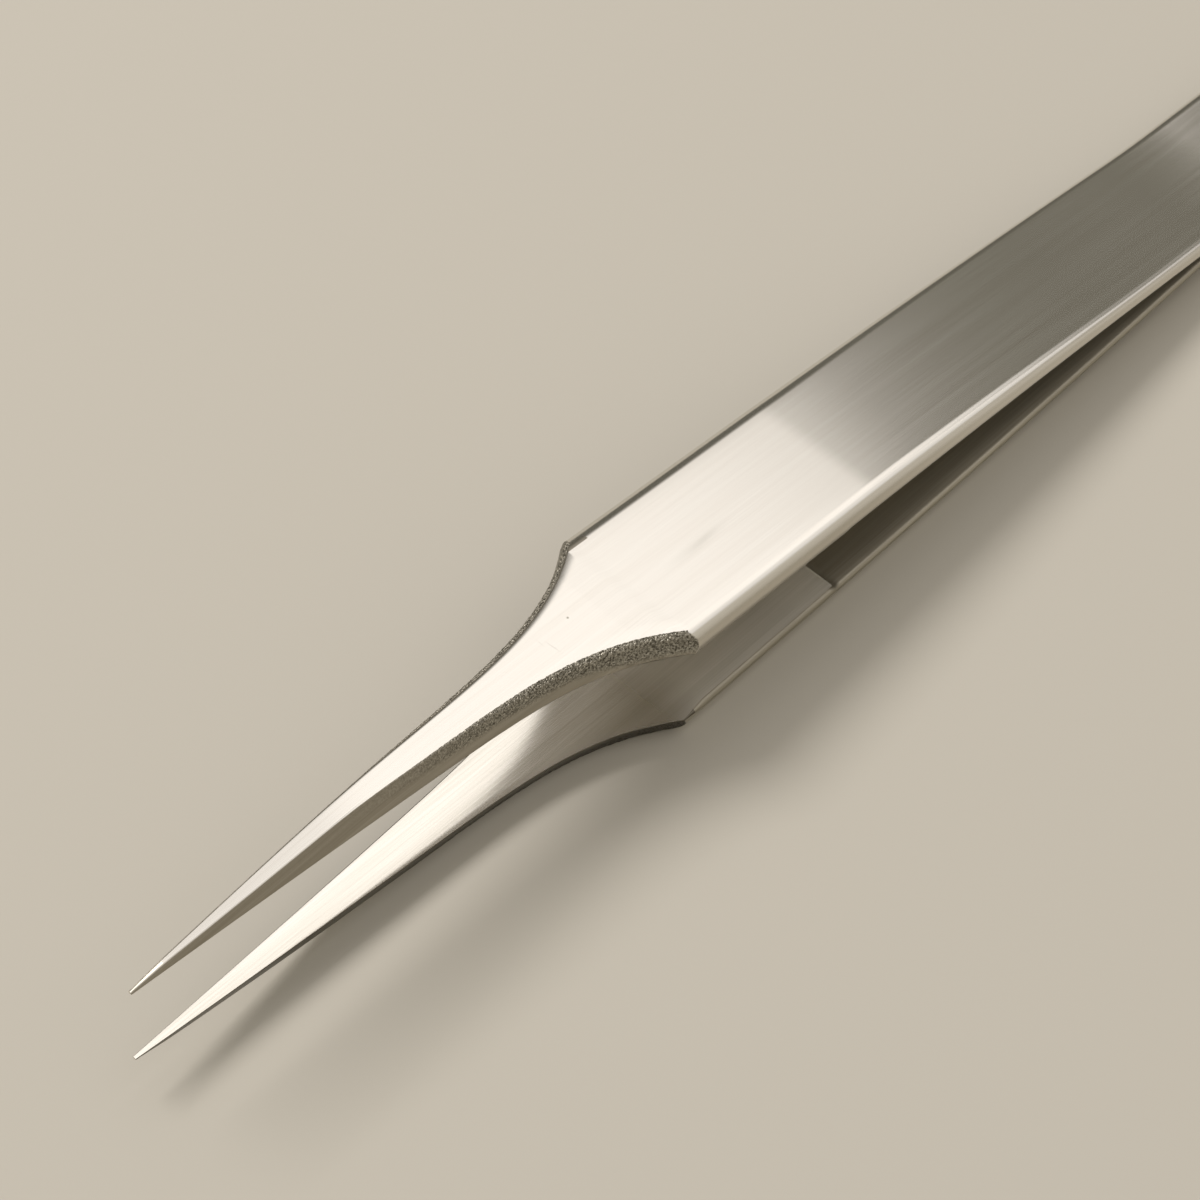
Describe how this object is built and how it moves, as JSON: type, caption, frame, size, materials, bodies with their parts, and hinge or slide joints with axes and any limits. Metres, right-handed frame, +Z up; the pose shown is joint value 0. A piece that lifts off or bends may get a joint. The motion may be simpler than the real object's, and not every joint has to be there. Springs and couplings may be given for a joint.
{
  "type": "precision tweezers",
  "caption": "Fine-point steel tweezers: ground strip arms joined face to face at the tail, bowed apart, with concave shoulders that run out to needle points.",
  "frame": {"origin": "middle of the bounding box, on the table plane", "axes": "+X from the tips to the tail, +Z up as the pair lies on a table, Y across the strips"},
  "size_m": [0.11, 0.0094, 0.0091],
  "materials": {
    "arm_steel": "satin, finely brushed along the strips, with stoned, granular ground sides"
  },
  "bodies": {
    "root": {"upper_arm": "arm_steel", "lower_arm": "arm_steel"}
  },
  "joints": []
}
